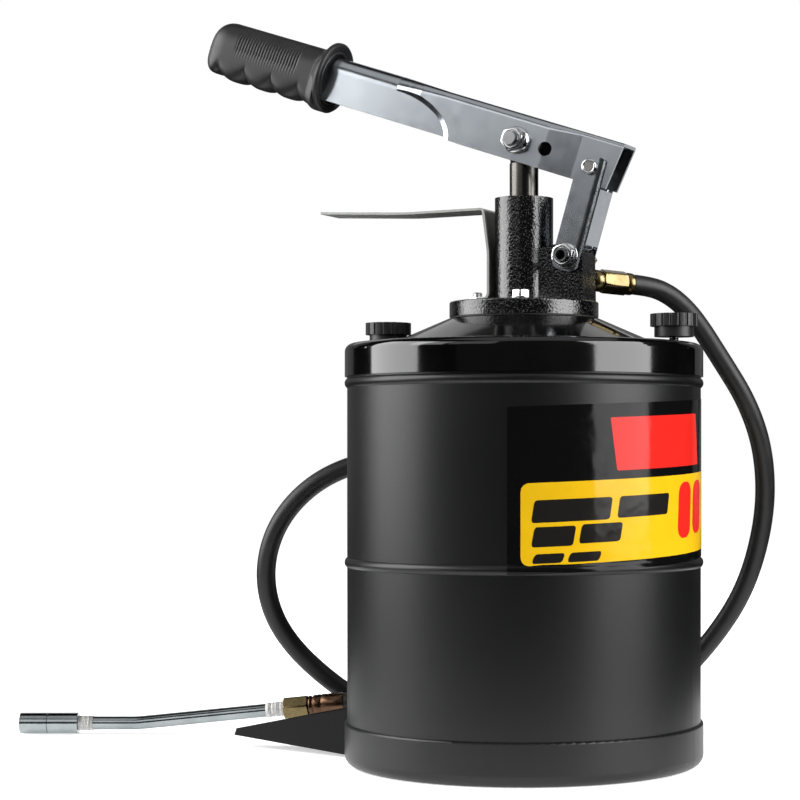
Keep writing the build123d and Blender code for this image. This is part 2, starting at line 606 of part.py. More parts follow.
with BuildPart() as link:
    with BuildSketch(LINK_BASE) as folded:
        Rectangle(2 * LINK_HALF, 2 * LINK_R)
        fillet(folded.vertices().group_by(Axis.Y)[0], LINK_BEND)
    extrude(folded.sketch, amount=LINK_TALL)
    with BuildSketch(LINK_BASE.offset(-1)) as hollow:
        with Locations((0, LINK_T)):
            Rectangle(2 * LINK_INNER, 2 * LINK_R)
        fillet(hollow.vertices().group_by(Axis.Y)[0], LINK_BEND - LINK_T)
    extrude(hollow.sketch, amount=LINK_TALL + 2, mode=Mode.SUBTRACT)
    with BuildSketch(LINK.offset(-LINK_HALF - 1)) as link_side:
        with Locations((0, LINK_TALL / 2 - LINK_FOOT)):
            Rectangle(2 * LINK_R, LINK_TALL)
        fillet(link_side.vertices().group_by(Axis.Y)[0], 6)
        fillet(link_side.vertices().group_by(Axis.Y)[-1], 4)
    extrude(link_side.sketch, amount=2 * LINK_HALF + 2, mode=Mode.INTERSECT)
    with BuildSketch(WEB_PLANE) as web_ends:
        for middle in ((0, WEB_LOW - 20), (0, WEB_HIGH + 20)):
            with Locations(middle):
                RectangleRounded(2 * LINK_INNER, 40, 3)
    extrude(web_ends.sketch, amount=20, mode=Mode.SUBTRACT)
    with BuildSketch(LINK.offset(-30)) as link_holes:
        Circle(4.06)
        with Locations((0, LINK_LENGTH)):
            Circle(3.05)
    extrude(link_holes.sketch, amount=60, mode=Mode.SUBTRACT)
link.part.label = "link"
export_step(link.part, "parts/link.step")

LUG_FRONT = Plane(origin=(LUG_X, -LINK_HALF - GAP, LUG_Z), x_dir=LINK.x_dir, z_dir=(0, -1, 0))
LUG_BACK = Plane(origin=(LUG_X, LINK_HALF + GAP, LUG_Z), x_dir=(1, 0, 0), z_dir=(0, 1, 0))

with BuildPart() as lug_bolt:
    disc(LUG_BACK.offset(-2 * LINK_HALF - 10.6), 4.0, 2 * LINK_HALF + 10.8)
    hexagon(LUG_BACK, 13, 5.3)
lug_bolt.part.label = "lug_bolt"
export_step(lug_bolt.part, "parts/lug_bolt.step")

with BuildPart() as lug_nut:
    hexagon(LUG_FRONT, 13, 6.6, 4.05)
    fillet(lug_nut.edges().filter_by(GeomType.LINE).filter_by(Axis.Y, reverse=True).group_by(Axis.Y)[0], 0.8)
lug_nut.part.label = "lug_nut"
export_step(lug_nut.part, "parts/lug_nut.step")

LINK_TOP = LINK.from_local_coords(Vector(0, LINK_LENGTH, 0))
PIN_R = 3.0
PIN_FRONT = Plane(origin=(LINK_TOP.X, -LINK_HALF - 0.05, LINK_TOP.Z), x_dir=(1, 0, 0), z_dir=(0, -1, 0))
PIN_BACK = Plane(origin=(LINK_TOP.X, LINK_HALF + 0.05, LINK_TOP.Z), x_dir=(1, 0, 0), z_dir=(0, 1, 0))

with BuildPart() as link_pin:
    disc(PIN_BACK.offset(-2 * LINK_HALF - 3.0), PIN_R, 2 * LINK_HALF + 3.2)
    disc(PIN_BACK, 5.6, 3.2)
link_pin.part.label = "link_pin"
export_step(link_pin.part, "parts/link_pin.step")

with BuildPart() as link_pin_collar:
    ring(PIN_FRONT, 4.6, PIN_R + SEAT, 3.4)
link_pin_collar.part.label = "link_pin_collar"
export_step(link_pin_collar.part, "parts/link_pin_collar.step")

# ---------------------------------------------------------------- thumb knobs
KNOB_FLUTES = 18


def thumb_knob(x, low):
    disc(at(x, 0, low), KNOB_R - 2.5, KNOB_COLLAR_H + 1)
    with BuildSketch(at(x, 0, low + KNOB_COLLAR_H)) as fluted:
        Circle(KNOB_R)
        with PolarLocations(KNOB_R + 0.5, KNOB_FLUTES):
            Circle(1.2, mode=Mode.SUBTRACT)
    extrude(fluted.sketch, amount=KNOB_H - KNOB_COLLAR_H)
    disc(at(x, 0, low - 1), STUD_R + SEAT, 9, mode=Mode.SUBTRACT)


def knob_stud(x, low):
    disc(at(x, 0, 238.5), STUD_R, low + 7.5 - 238.5)


with BuildPart() as knob_left:
    thumb_knob(*KNOB_LEFT)
knob_left.part.label = "knob_left"
export_step(knob_left.part, "parts/knob_left.step")

with BuildPart() as knob_right:
    thumb_knob(*KNOB_RIGHT)
knob_right.part.label = "knob_right"
export_step(knob_right.part, "parts/knob_right.step")

with BuildPart() as stud_left:
    knob_stud(*KNOB_LEFT)
stud_left.part.label = "stud_left"
export_step(stud_left.part, "parts/stud_left.step")

with BuildPart() as stud_right:
    knob_stud(*KNOB_RIGHT)
stud_right.part.label = "stud_right"
export_step(stud_right.part, "parts/stud_right.step")

# ---------------------------------------------------------------- follower plate
FOLLOWER_R = BUCKET_R - WALL - 6.0
HUB_R = SPIGOT_R + 4.0

with BuildPart() as follower_plate:
    ring(level(FOLLOWER_Z), FOLLOWER_R, BARREL_R + GAP, 2.0)
    ring(level(FOLLOWER_Z + 1.5), HUB_R, BARREL_R + GAP, 8)
follower_plate.part.label = "follower_plate"
export_step(follower_plate.part, "parts/follower_plate.step")

with BuildPart() as follower_wiper:
    ring(level(FOLLOWER_Z - 2.5), BUCKET_R - WALL - GAP, FOLLOWER_R - 4, 2.45)
    ring(level(FOLLOWER_Z - 2.5), BUCKET_R - WALL - GAP, FOLLOWER_R + SEAT, 9)
follower_wiper.part.label = "follower_wiper"
export_step(follower_wiper.part, "parts/follower_wiper.step")

with BuildPart() as follower_loop:
    with BuildLine(Plane.YZ) as loop_line:
        loop_foot = FOLLOWER_Z + 2.02
        FilletPolyline((52, loop_foot), (52, loop_foot + 16), (78, loop_foot + 16), (78, loop_foot), radius=6)
    with BuildSketch(Plane(origin=(0, 52, loop_foot))):
        Circle(2.5)
    sweep()
follower_loop.part.label = "follower_loop"
export_step(follower_loop.part, "parts/follower_loop.step")

# ---------------------------------------------------------------- outlet valve and fitting
OUTLET_BALL_R = 4.0
ADAPTOR_IN = 21.0
HEX_START = 53.8
HEX_END = 70.8
FERRULE_END = 76.0

with BuildPart() as outlet_adaptor:
    disc(outlet(ADAPTOR_IN), 6.55, BOSS_END - ADAPTOR_IN + 1)
    disc(outlet(BOSS_END), 5.9, HEX_START - BOSS_END)
    hexagon(outlet(HEX_START), 14, HEX_END - HEX_START)
    disc(outlet(ADAPTOR_IN - 1), 3.0, 80, mode=Mode.SUBTRACT)
outlet_adaptor.part.label = "outlet_adaptor"
export_step(outlet_adaptor.part, "parts/outlet_adaptor.step")

with BuildPart() as outlet_ball:
    with Locations(outlet(15).origin):
        Sphere(OUTLET_BALL_R)
outlet_ball.part.label = "outlet_ball"
export_step(outlet_ball.part, "parts/outlet_ball.step")

with BuildPart() as outlet_ferrule:
    ring(outlet(HEX_END + 0.02), 7.2, 3.05, FERRULE_END - HEX_END - 0.02)
outlet_ferrule.part.label = "outlet_ferrule"
export_step(outlet_ferrule.part, "parts/outlet_ferrule.step")

# ---------------------------------------------------------------- nozzle
TUBE_R = 4.5
TUBE_BORE = 2.6
NUT_FLATS = 14.0
TAPE_T = 0.45
HOSE_TAIL = Vector(-160, 70, 23)          # far end of the hose
TUBE_BEND = Vector(-296.7, 27.9, 7.6)
COUPLER_TIP = Vector(-371.1, -2.2, 7.6)
COUPLER_R = 7.1
COUPLER_LENGTH = 39.5
COUPLER_SPLIT = 19.0
FERRULE_LENGTH = 22.0
NUT_LENGTH = 16.5
NUT_COLLAR = 2.9
TAPE_LENGTH = 12.6
FRONT_TAPE = 10.2
REAR_DIR = (TUBE_BEND - HOSE_TAIL).normalized()
FRONT_DIR = (COUPLER_TIP - TUBE_BEND).normalized()


def rear(distance):
    """Plane square to the nozzle's rear part, this far from the hose's end."""
    return Plane(origin=HOSE_TAIL + REAR_DIR * distance, z_dir=REAR_DIR)


def front(distance):
    """Plane square to the nozzle's front part, this far back from the coupler's tip."""
    return Plane(origin=COUPLER_TIP - FRONT_DIR * distance, z_dir=FRONT_DIR)


NUT_AT = FERRULE_LENGTH + NUT_COLLAR
TAPE_AT = NUT_AT + NUT_LENGTH

with BuildPart() as nozzle_ferrule:
    ring(rear(0), 7.2, TUBE_R + SEAT, FERRULE_LENGTH)
    ring(rear(FERRULE_LENGTH - 0.1), 6.0, TUBE_R + SEAT, NUT_COLLAR + 0.1 - SEAT)
nozzle_ferrule.part.label = "nozzle_ferrule"
export_step(nozzle_ferrule.part, "parts/nozzle_ferrule.step")

with BuildPart() as nozzle_nut:
    hexagon(rear(NUT_AT), NUT_FLATS, NUT_LENGTH, TUBE_R + SEAT)
nozzle_nut.part.label = "nozzle_nut"
export_step(nozzle_nut.part, "parts/nozzle_nut.step")

with BuildPart() as nozzle_tube:
    with BuildLine() as tube_line:
        FilletPolyline(rear(4).origin, TUBE_BEND, front(COUPLER_LENGTH - 12).origin, radius=45)
    with BuildSketch(rear(4)) as tube_section:
        Circle(TUBE_R)
        Circle(TUBE_BORE, mode=Mode.SUBTRACT)
    sweep(tube_section.sketch, path=tube_line.wire())
nozzle_tube.part.label = "nozzle_tube"
export_step(nozzle_tube.part, "parts/nozzle_tube.step")

with BuildPart() as thread_tape_rear:
    ring(rear(TAPE_AT + 0.02), TUBE_R + TAPE_T, TUBE_R + 0.02, TAPE_LENGTH)
thread_tape_rear.part.label = "thread_tape_rear"
export_step(thread_tape_rear.part, "parts/thread_tape_rear.step")

with BuildPart() as thread_tape_front:
    ring(front(COUPLER_LENGTH + FRONT_TAPE), TUBE_R + TAPE_T, TUBE_R + 0.02, FRONT_TAPE - 0.02)
thread_tape_front.part.label = "thread_tape_front"
export_step(thread_tape_front.part, "parts/thread_tape_front.step")

MOUTH_R = 3.4
MOUTH_LENGTH = 4.0

with BuildPart() as coupler_body:
    ring(front(COUPLER_LENGTH), COUPLER_R, TUBE_R + 0.02, 13)
    ring(front(COUPLER_LENGTH - 12), COUPLER_R, TUBE_BORE, COUPLER_LENGTH - 12 - COUPLER_SPLIT)
    ring(front(COUPLER_SPLIT + 0.2), 5.6, TUBE_BORE, 3.2)
coupler_body.part.label = "coupler_body"
export_step(coupler_body.part, "parts/coupler_body.step")

with BuildPart() as coupler_cap:
    ring(front(COUPLER_SPLIT - 0.5), COUPLER_R, 5.6 + SEAT, COUPLER_SPLIT - 0.5)
    ring(front(MOUTH_LENGTH), 6, MOUTH_R, MOUTH_LENGTH)
coupler_cap.part.label = "coupler_cap"
export_step(coupler_cap.part, "parts/coupler_cap.step")

with BuildPart() as coupler_jaws:
    for start in (4, 124, 244):
        with BuildSketch(front(MOUTH_LENGTH + 8)) as jaw:
            with BuildLine():
                CenterArc((0, 0), 5.4, start, 112)
                CenterArc((0, 0), 3.2, start, 112)
                for edge in (start, start + 112):
                    Line(polar(5.4, edge), polar(3.2, edge))
            make_face()
        extrude(jaw.sketch, amount=7.8)
coupler_jaws.part.label = "coupler_jaws"
export_step(coupler_jaws.part, "parts/coupler_jaws.step")

with BuildPart() as coupler_seal:
    ring(front(MOUTH_LENGTH + 11.2), 5.4, 1.5, 3.0)
coupler_seal.part.label = "coupler_seal"
export_step(coupler_seal.part, "parts/coupler_seal.step")

# ---------------------------------------------------------------- delivery hose
# From the outlet ferrule it drops behind the bucket, runs along the floor, stands up in a loop at the
# bucket's left, comes back down behind the bucket and ends in the nozzle.
HOSE_START = outlet(FERRULE_END).origin
HOSE_ROUTE = [
    HOSE_START, outlet(FERRULE_END + 14).origin, (70.2, 75.4, 294.8), (78, 83.7, 286.8), (85.1, 91.3, 276),
    (94.1, 101, 258.4), (111.5, 117.2, 224.4), (117.6, 133.6, 189.6), (113, 149.7, 148.3), (96.4, 162.1, 101.2),
    (69.6, 166.9, 62.9), (34.8, 170, 28.1), (-5, 165, 9), (-48, 154, 7), (-94, 135, 7.2),
    (-139, 108, 9), (-172, 87.6, 28.5), (-205.2, 64.3, 66.5), (-213.7, 52.1, 106.1), (-203.2, 51.9, 145.9),
    (-175.5, 63.2, 176.8), (-135.8, 81.1, 190.9), (-91, 107, 206), (-42, 132, 193), (-4, 149, 158),
    (10, 156, 112), (1, 152, 66), (-29, 136, 29), (-69, 112, 9), (-102, 92, 18),
    HOSE_TAIL - REAR_DIR * 30.5, HOSE_TAIL]


def corner_radii(points):
    """Radius for each corner of a route: as large as its two runs allow."""
    radii = []
    for before, corner, after in zip(points, points[1:], points[2:]):
        into, away = Vector(corner) - Vector(before), Vector(after) - Vector(corner)
        turn = radians(into.get_angle(away))
        radii.append(0.45 * min(into.length, away.length) / tan(turn / 2))
    return radii


hose_radii = corner_radii(HOSE_ROUTE)
print("hose corner radii", [round(radius) for radius in hose_radii])

with BuildPart() as delivery_hose:
    with BuildLine() as hose_line:
        FilletPolyline(*HOSE_ROUTE, radius=hose_radii)
    with BuildSketch(Plane(origin=HOSE_START, z_dir=OUTLET_DIR)) as hose_section:
        Circle(HOSE_R)
    sweep(hose_section.sketch, path=hose_line.wire())
delivery_hose.part.label = "delivery_hose"
export_step(delivery_hose.part, "parts/delivery_hose.step")

hose_length = hose_line.wire().length
print("hose length", round(hose_length), "volume ratio",
      round(delivery_hose.part.volume / (pi * HOSE_R ** 2 * hose_length), 4))
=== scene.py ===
"""Bucket grease pump: materials, detailed pieces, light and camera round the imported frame. Metres."""
from math import cos, pi, radians, sin, sqrt, tan

import bpy
from mathutils import Matrix, Vector


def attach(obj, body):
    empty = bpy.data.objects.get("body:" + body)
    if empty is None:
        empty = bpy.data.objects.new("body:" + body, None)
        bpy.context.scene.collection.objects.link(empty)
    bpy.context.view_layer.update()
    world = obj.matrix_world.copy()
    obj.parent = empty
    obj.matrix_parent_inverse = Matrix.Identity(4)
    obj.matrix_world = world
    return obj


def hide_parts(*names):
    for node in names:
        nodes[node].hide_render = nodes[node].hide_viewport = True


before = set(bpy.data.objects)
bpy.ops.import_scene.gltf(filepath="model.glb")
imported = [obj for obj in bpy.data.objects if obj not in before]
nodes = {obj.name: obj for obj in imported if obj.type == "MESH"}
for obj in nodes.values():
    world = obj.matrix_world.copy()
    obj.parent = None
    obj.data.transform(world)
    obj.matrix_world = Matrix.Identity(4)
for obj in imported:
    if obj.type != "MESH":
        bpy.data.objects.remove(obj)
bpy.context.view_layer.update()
MM = 0.001

# ---------------------------------------------------------------- camera
CAMERA_TURN = 22
camera_data = bpy.data.cameras.new("camera")
camera_data.sensor_width = 36
camera_data.lens = 99.2
camera_data.shift_x = -0.155
camera_data.shift_y = 0.065
camera_data.clip_end = 20
camera = bpy.data.objects.new("camera", camera_data)
camera.location = (0.51507, -1.27488, 0.1934)
camera.rotation_euler = (radians(90), 0, radians(CAMERA_TURN))
bpy.context.collection.objects.link(camera)
bpy.context.scene.camera = camera


# ---------------------------------------------------------------- mesh helpers
def mesh_object(name, verts, faces):
    mesh = bpy.data.meshes.new(name)
    mesh.from_pydata(verts, [], faces)
    mesh.validate()
    for face in mesh.polygons:
        face.use_smooth = True
    piece = bpy.data.objects.new(name, mesh)
    bpy.context.collection.objects.link(piece)
    return piece


def axes_to(origin, direction, side=(0, 0, 1)):
    """Matrix whose local Z runs along direction from origin."""
    z = Vector(direction).normalized()
    x = Vector(side)
    if abs(x.normalized().dot(z)) > 0.95:
        x = Vector((1, 0, 0))
    x = (x - z * x.dot(z)).normalized()
    y = z.cross(x)
    basis = Matrix((x, y, z)).transposed().to_4x4()
    return Matrix.Translation(Vector(origin)) @ basis


def place(piece, matrix):
    piece.data.transform(matrix)
    return piece


def bevelled(piece, width):
    """Rounds a piece's sharp edges, to a width in metres, so that they catch the light."""
    modifier = piece.modifiers.new("edges", "BEVEL")
    modifier.width = width
    modifier.segments = 2
    modifier.limit_method = "ANGLE"
    modifier.angle_limit = radians(32)
    modifier.harden_normals = True


# ---------------------------------------------------------------- material helpers
def new_material(name, **inputs):
    """A material and its shader; the named inputs are set on the shader's own sockets."""
    material = bpy.data.materials.new(name)
    material.use_nodes = True
    shader = material.node_tree.nodes["Principled BSDF"]
    for key, value in inputs.items():
        shader.inputs[key.replace("_", " ")].default_value = value
    return material, shader


def add(material, kind, **settings):
    """A new node with its settings or input values."""
    node = material.node_tree.nodes.new(kind)
    for key, value in settings.items():
        if key in node.inputs:
            node.inputs[key].default_value = value
        elif key.replace("_", " ") in node.inputs:
            node.inputs[key.replace("_", " ")].default_value = value
        else:
            setattr(node, key, value)
    return node


def join(material, output, target):
    material.node_tree.links.new(output, target)


def noise(material, scale, detail=4.0, roughness=0.55, stretch=(1, 1, 1)):
    """Noise in the piece's own frame; scale is features per metre."""
    place_node = add(material, "ShaderNodeTexCoord")
    mapping = add(material, "ShaderNodeMapping", Scale=stretch)
    join(material, place_node.outputs["Object"], mapping.inputs["Vector"])
    texture = add(material, "ShaderNodeTexNoise", Scale=scale, Detail=detail, Roughness=roughness)
    join(material, mapping.outputs["Vector"], texture.inputs["Vector"])
    return texture.outputs["Fac"]


def spread(material, factor, low, high, start=0.3, end=0.7):
    """Maps a factor from start..end onto low..high."""
    node = add(material, "ShaderNodeMapRange")
    node.inputs["From Min"].default_value = start
    node.inputs["From Max"].default_value = end
    node.inputs["To Min"].default_value = low
    node.inputs["To Max"].default_value = high
    join(material, factor, node.inputs["Value"])
    return node.outputs["Result"]


# the colour mix node's sockets, which share their names with its other types
MIX_FACTOR, MIX_UNDER, MIX_OVER, MIX_RESULT = 0, 6, 7, 2


def tint(material, factor, low, high):
    """Mixes two colours by a factor."""
    node = add(material, "ShaderNodeMix", data_type="RGBA")
    node.inputs[MIX_UNDER].default_value = (*low, 1)
    node.inputs[MIX_OVER].default_value = (*high, 1)
    join(material, factor, node.inputs[MIX_FACTOR])
    return node.outputs[MIX_RESULT]


def cover(material, factor, under, colour):
    """Lays one colour over what is below it, by a factor."""
    node = add(material, "ShaderNodeMix", data_type="RGBA")
    node.inputs[MIX_OVER].default_value = (*colour, 1)
    join(material, under, node.inputs[MIX_UNDER])
    join(material, factor, node.inputs[MIX_FACTOR])
    return node.outputs[MIX_RESULT]


def paint_base(material, shader, factor, low, high):
    """Clouds the base colour between two colours."""
    join(material, tint(material, spread(material, factor, 0, 1), low, high), shader.inputs["Base Color"])


def roughen(material, shader, factor, low, high):
    """Varies the roughness from low to high."""
    join(material, spread(material, factor, low, high), shader.inputs["Roughness"])


def bump(material, shader, height, strength, distance):
    """Relief from a height factor; distance is its depth in metres."""
    node = add(material, "ShaderNodeBump")
    node.inputs["Strength"].default_value = strength
    node.inputs["Distance"].default_value = distance
    join(material, height, node.inputs["Height"])
    join(material, node.outputs["Normal"], shader.inputs["Normal"])


# ---------------------------------------------------------------- materials
def powder_coat(name, specular):
    material, shader = new_material(name, Specular_IOR_Level=specular)
    grain = noise(material, 2600, 3, 0.6)
    cloud = noise(material, 14, 3, 0.5)
    paint_base(material, shader, cloud, (0.0026, 0.0027, 0.0029), (0.0042, 0.0043, 0.0045))
    roughen(material, shader, grain, 0.31, 0.42)
    bump(material, shader, grain, 0.5, 0.00007)
    return material


def gloss_black():
    material, shader = new_material("lid_gloss_paint", Specular_IOR_Level=0.55)
    peel = noise(material, 420, 2, 0.5)
    smear = noise(material, 30, 4, 0.6)
    paint_base(material, shader, smear, (0.0014, 0.0014, 0.0016), (0.0028, 0.0028, 0.0031))
    roughen(material, shader, smear, 0.06, 0.13)
    bump(material, shader, peel, 0.10, 0.00012)
    return material


def painted_casting():
    """Gloss paint over a sand-cast skin, with bright specks painted into its colour as glints off the
    grains.
    """
    material, shader = new_material("casting_gloss_paint", Specular_IOR_Level=0.7)
    skin_grain = noise(material, 700, 2, 0.55)
    painted_glints = noise(material, 1050, 1, 0.5)
    cloud = noise(material, 260, 3, 0.6)
    paint = tint(material, spread(material, cloud, 0, 1), (0.0010, 0.0010, 0.0011), (0.0022, 0.0022, 0.0023))
    # bright specks painted into the base colour: painted glints that stand in for the grains sparkling under
    # the lamps
    join(material, cover(material, spread(material, painted_glints, 0, 1, 0.58, 0.66), paint, (0.058, 0.058, 0.057)),
         shader.inputs["Base Color"])
    roughen(material, shader, cloud, 0.06, 0.11)
    bump(material, shader, skin_grain, 1.0, 0.00024)
    return material


def metal(name, dark, light, rough_low, rough_high, scratch=900, relief=0.15, stretch=(1, 1, 1)):
    """Bare or plated metal: clouded colour, uneven roughness and a fine scratched relief."""
    material, shader = new_material(name, Metallic=1.0)
    cloud = noise(material, 55, 5, 0.6)
    fine = noise(material, scratch, 4, 0.6, stretch)
    paint_base(material, shader, cloud, dark, light)
    roughen(material, shader, fine, rough_low, rough_high)
    if relief > 0:
        bump(material, shader, fine, relief, 0.00008)
    return material


def plated_strap():
    """Thin dull zinc, paler and less mirror-like than the bolts."""
    material, shader = new_material("dull_zinc_strap", Metallic=0.35, Specular_IOR_Level=0.6)
    cloud = noise(material, 70, 4, 0.6)
    fine = noise(material, 900, 3, 0.6)
    paint_base(material, shader, cloud, (0.40, 0.41, 0.385), (0.50, 0.51, 0.48))
    roughen(material, shader, fine, 0.26, 0.38)
    bump(material, shader, fine, 0.15, 0.00006)
    return material


def plain_rubber(name, dark, light, rough_low, rough_high, grain=1500, relief=0.25):
    material, shader = new_material(name, Specular_IOR_Level=0.4)
    cloud = noise(material, 40, 4, 0.6)
    fine = noise(material, grain, 3, 0.6)
    paint_base(material, shader, cloud, dark, light)
    roughen(material, shader, cloud, rough_low, rough_high)
    bump(material, shader, fine, relief, 0.00012)
    return material


def thread_tape():
    material, shader = new_material("thread_tape", Roughness=0.55, Specular_IOR_Level=0.35)
    fold = noise(material, 700, 4, 0.6)
    paint_base(material, shader, fold, (0.42, 0.42, 0.41), (0.64, 0.64, 0.63))
    bump(material, shader, fold, 0.6, 0.0003)
    return material


def label_film(name, colour):
    """Gloss film that lies on the wall a little unevenly."""
    material, shader = new_material(name, Specular_IOR_Level=0.13)
    wrinkle = noise(material, 60, 2, 0.5)
    blotch = noise(material, 90, 3, 0.6)
    low = tuple(channel * 0.94 for channel in colour)
    paint_base(material, shader, blotch, low, colour)
    roughen(material, shader, blotch, 0.09, 0.17)
    bump(material, shader, wrinkle, 0.45, 0.0006)
    return material


LOOKS = {
    "bucket": powder_coat("bucket_powder_coat", 0.37),
    "pedal": powder_coat("pedal_powder_coat", 0.04),
    "lid": gloss_black(),
    "casting": painted_casting(),
    "zinc_sheet": metal("zinc_sheet", (0.40, 0.43, 0.46), (0.44, 0.47, 0.50), 0.19, 0.25, 120, 0),
    "strap": plated_strap(),
    "zinc": metal("bright_zinc", (0.50, 0.51, 0.52), (0.64, 0.65, 0.65), 0.14, 0.24, 500, 0.04),
    "steel": metal("turned_steel", (0.065, 0.062, 0.057), (0.115, 0.110, 0.102), 0.18, 0.30, 700, 0.2,
                   (1, 1, 0.05)),
    "chrome": metal("nickel_chrome", (0.27, 0.30, 0.31), (0.37, 0.40, 0.41), 0.08, 0.18, 500),
    "brass": metal("olive_brass", (0.13, 0.10, 0.048), (0.24, 0.19, 0.092), 0.22, 0.34, 500, 0.05),
    "rivet": metal("dull_nickel", (0.24, 0.235, 0.22), (0.34, 0.33, 0.31), 0.24, 0.38, 700, 0.1),
    "copper": metal("coppered_brass", (0.075, 0.042, 0.026), (0.14, 0.082, 0.050), 0.22, 0.32, 500, 0.05),
    "bronze": metal("turned_bronze", (0.42, 0.28, 0.12), (0.52, 0.36, 0.17), 0.25, 0.4, 900),
    "rubber": plain_rubber("seal_rubber", (0.010, 0.010, 0.010), (0.018, 0.018, 0.018), 0.5, 0.65),
    "hose": plain_rubber("hose_rubber", (0.006, 0.006, 0.0062), (0.011, 0.011, 0.0115), 0.40, 0.52),
    "grip": plain_rubber("grip_rubber", (0.010, 0.010, 0.011), (0.016, 0.016, 0.017), 0.38, 0.50, 2200, 0.2),
    "knob": plain_rubber("knob_plastic", (0.010, 0.010, 0.0105), (0.015, 0.015, 0.016), 0.30, 0.42, 1200,
                         0.1),
    "tape": thread_tape(),
    "label_black": label_film("label_black", (0.0035, 0.0035, 0.0037)),
    "label_yellow": label_film("label_yellow", (0.74, 0.44, 0.009)),
    "label_red": label_film("label_red", (0.68, 0.020, 0.014)),
    "label_dark": label_film("label_dark", (0.012, 0.011, 0.010)),
}

NODE_LOOKS = {
    "bucket": ["bucket_shell", "bucket_bottom", "knob_anchors", "panel_label"],
    "pedal": ["foot_pedal"],
    "lid": ["lid"],
    "casting": ["pump_head"],
    "zinc_sheet": ["lever_channel", "link", "follower_plate"],
    "strap": ["hook_strap"],
    "zinc": ["strap_stud", "strap_nut", "seal_ring", "flange_bolts", "flange_nuts", "lug_bolt",
             "lug_nut", "rod_pivot_bolt", "rod_pivot_nut", "link_pin_collar"],
    "rivet": ["link_pin"],
    "steel": ["piston_rod", "piston_nut", "pivot_spacers", "pump_barrel", "foot_valve_body",
              "foot_valve_ball", "inlet_strainer", "outlet_ball", "stud_left", "stud_right", "follower_loop",
              "coupler_jaws"],
    "chrome": ["nozzle_tube", "coupler_body", "coupler_cap"],
    "brass": ["outlet_adaptor", "outlet_ferrule", "nozzle_ferrule", "nozzle_nut"],
    "bronze": ["rod_guide", "piston"],
    "rubber": ["lid_gasket", "head_gasket", "rod_seal", "piston_cups", "coupler_seal", "follower_wiper"],
    "hose": ["delivery_hose"],
    "grip": ["lever_grip"],
    "knob": ["knob_left", "knob_right"],
    "tape": ["thread_tape_rear", "thread_tape_front"],
}


def dress(piece, look):
    piece.data.materials.clear()
    piece.data.materials.append(LOOKS[look])


for look, names in NODE_LOOKS.items():
    for name in names:
        node = nodes[name]
        if not node.material_slots:
            node.data.materials.append(LOOKS[look])
        for slot in node.material_slots:
            slot.material = LOOKS[look]

# ---------------------------------------------------------------- delivery hose
OUTLET_ANGLE = radians(47)
OUTLET_DROP = radians(3.5)
OUTLET_DIR = Vector((cos(OUTLET_ANGLE) * cos(OUTLET_DROP), sin(OUTLET_ANGLE) * cos(OUTLET_DROP),
                     -sin(OUTLET_DROP)))
OUTLET_Z = 0.305
HOSE_EXIT = 76


def outlet(distance):
    """Point on the outlet passage's axis, in metres, this many millimetres out."""
    return Vector((0, 0, OUTLET_Z)) + OUTLET_DIR * distance * MM


HOSE_D = 0.013
HOSE_TAIL = Vector((-0.160, 0.070, 0.023))
TUBE_BEND = Vector((-0.2967, 0.0279, 0.0076))
COUPLER_TIP = Vector((-0.3711, -0.0022, 0.0076))
REAR_DIR = (TUBE_BEND - HOSE_TAIL).normalized()
FRONT_DIR = (COUPLER_TIP - TUBE_BEND).normalized()
HOSE_ROUTE = [
    outlet(HOSE_EXIT), outlet(90), (0.0702, 0.0754, 0.2948), (0.078, 0.0837, 0.2868),
    (0.0851, 0.0913, 0.276), (0.0941, 0.101, 0.2584), (0.1115, 0.1172, 0.2244),
    (0.1176, 0.1336, 0.1896), (0.113, 0.1497, 0.1483), (0.0964, 0.1621, 0.1012),
    (0.0696, 0.1669, 0.0629), (0.0348, 0.170, 0.0281), (-0.005, 0.165, 0.009),
    (-0.048, 0.154, 0.007), (-0.094, 0.135, 0.0072), (-0.139, 0.108, 0.009),
    (-0.172, 0.0876, 0.0285), (-0.2052, 0.0643, 0.0665), (-0.2137, 0.0521, 0.1061),
    (-0.2032, 0.0519, 0.1459), (-0.1755, 0.0632, 0.1768), (-0.1358, 0.0811, 0.1909),
    (-0.091, 0.107, 0.206), (-0.042, 0.132, 0.193), (-0.004, 0.149, 0.158), (0.010, 0.156, 0.112),
    (0.001, 0.152, 0.066), (-0.029, 0.136, 0.029), (-0.069, 0.112, 0.009), (-0.102, 0.092, 0.018),
    HOSE_TAIL - REAR_DIR * 0.0305, HOSE_TAIL]

hose_curve = bpy.data.curves.new("hose", "CURVE")
hose_curve.dimensions = "3D"
hose_curve.bevel_depth = HOSE_D / 2
hose_curve.bevel_resolution = 8
hose_curve.resolution_u = 10
hose_curve.use_fill_caps = True
hose_line = hose_curve.splines.new("NURBS")
hose_line.points.add(len(HOSE_ROUTE) - 1)
for control, point in zip(hose_line.points, HOSE_ROUTE):
    control.co = (*point, 1)
hose_line.order_u = 3
hose_line.use_endpoint_u = True
hose = bpy.data.objects.new("hose", hose_curve)
bpy.context.collection.objects.link(hose)
hose_curve.materials.append(LOOKS["hose"])
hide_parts("delivery_hose")
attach(hose, "lid_unit")

# ---------------------------------------------------------------- shapes
PER_SIDE = 10
CONE_STEPS = 4


def skin(name, rings, caps=True):
    """Mesh through equal closed rings of points, with its two ends closed if caps is set."""
    count = len(rings[0])
    verts = [point for ring in rings for point in ring]
    faces = []
    for i in range(len(rings) - 1):
        for j in range(count):
            k = (j + 1) % count
            faces.append((i * count + j, i * count + k, (i + 1) * count + k, (i + 1) * count + j))
    if caps:
        faces.append(tuple(range(count - 1, -1, -1)))
        faces.append(tuple((len(rings) - 1) * count + j for j in range(count)))
    return mesh_object(name, verts, faces)


